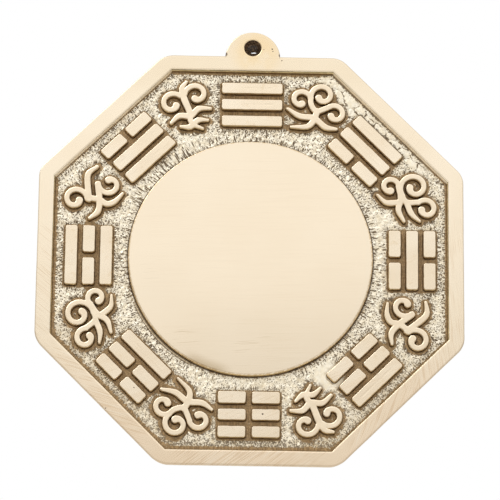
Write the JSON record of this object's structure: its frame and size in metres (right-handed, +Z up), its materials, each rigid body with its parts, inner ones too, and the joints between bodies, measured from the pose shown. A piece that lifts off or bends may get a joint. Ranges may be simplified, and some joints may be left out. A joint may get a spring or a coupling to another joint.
{
  "type": "bagua mirror",
  "caption": "Octagonal brass bagua wall plaque with a flat polished mirror disc, raised trigrams and cloud scrolls on a sunk stippled ground, a raised rim and a pierced hanging lug.",
  "frame": {"origin": "centre of the hanging hole, on the plaque's flat back face, which is the wall plane", "axes": "+Z up along the plaque from its middle to the hanging lug, the front with the mirror disc faces -Y, the wall is on the +Y side, +X to the viewer's right"},
  "size_m": [0.125, 0.0045, 0.1326],
  "materials": {
    "ground_brass": "sunk stippled ground with dark brown patina",
    "rim_brass": "polished, finely brushed on the slant",
    "lug_brass": "polished",
    "mirror_brass": "mirror polished with fine hairlines",
    "bar_brass": "polished top, patina at the foot",
    "cloud_brass": "polished top, patina at the foot"
  },
  "bodies": {
    "root": {"bottom_inner_bar_left_half": "bar_brass", "bottom_inner_bar_right_half": "bar_brass", "bottom_middle_bar_left_half": "bar_brass", "bottom_middle_bar_right_half": "bar_brass", "bottom_outer_bar_left_half": "bar_brass", "bottom_outer_bar_right_half": "bar_brass", "cloud_bottom_left": "cloud_brass", "cloud_bottom_right": "cloud_brass", "cloud_left_lower": "cloud_brass", "cloud_left_upper": "cloud_brass", "cloud_right_lower": "cloud_brass", "cloud_right_upper": "cloud_brass", "cloud_top_left": "cloud_brass", "cloud_top_right": "cloud_brass", "ground_plate": "ground_brass", "hanging_lug": "lug_brass", "left_inner_bar": "bar_brass", "left_middle_bar_left_half": "bar_brass", "left_middle_bar_right_half": "bar_brass", "left_outer_bar": "bar_brass", "lower_left_inner_bar": "bar_brass", "lower_left_middle_bar_left_half": "bar_brass", "lower_left_middle_bar_right_half": "bar_brass", "lower_left_outer_bar_left_half": "bar_brass", "lower_left_outer_bar_right_half": "bar_brass", "lower_right_inner_bar_left_half": "bar_brass", "lower_right_inner_bar_right_half": "bar_brass", "lower_right_middle_bar_left_half": "bar_brass", "lower_right_middle_bar_right_half": "bar_brass", "lower_right_outer_bar": "bar_brass", "mirror_disc": "mirror_brass", "right_inner_bar_left_half": "bar_brass", "right_inner_bar_right_half": "bar_brass", "right_middle_bar": "bar_brass", "right_outer_bar_left_half": "bar_brass", "right_outer_bar_right_half": "bar_brass", "rim": "rim_brass", "top_inner_bar": "bar_brass", "top_middle_bar": "bar_brass", "top_outer_bar": "bar_brass", "upper_left_inner_bar": "bar_brass", "upper_left_middle_bar": "bar_brass", "upper_left_outer_bar_left_half": "bar_brass", "upper_left_outer_bar_right_half": "bar_brass", "upper_right_inner_bar_left_half": "bar_brass", "upper_right_inner_bar_right_half": "bar_brass", "upper_right_middle_bar": "bar_brass", "upper_right_outer_bar": "bar_brass"}
  },
  "joints": []
}
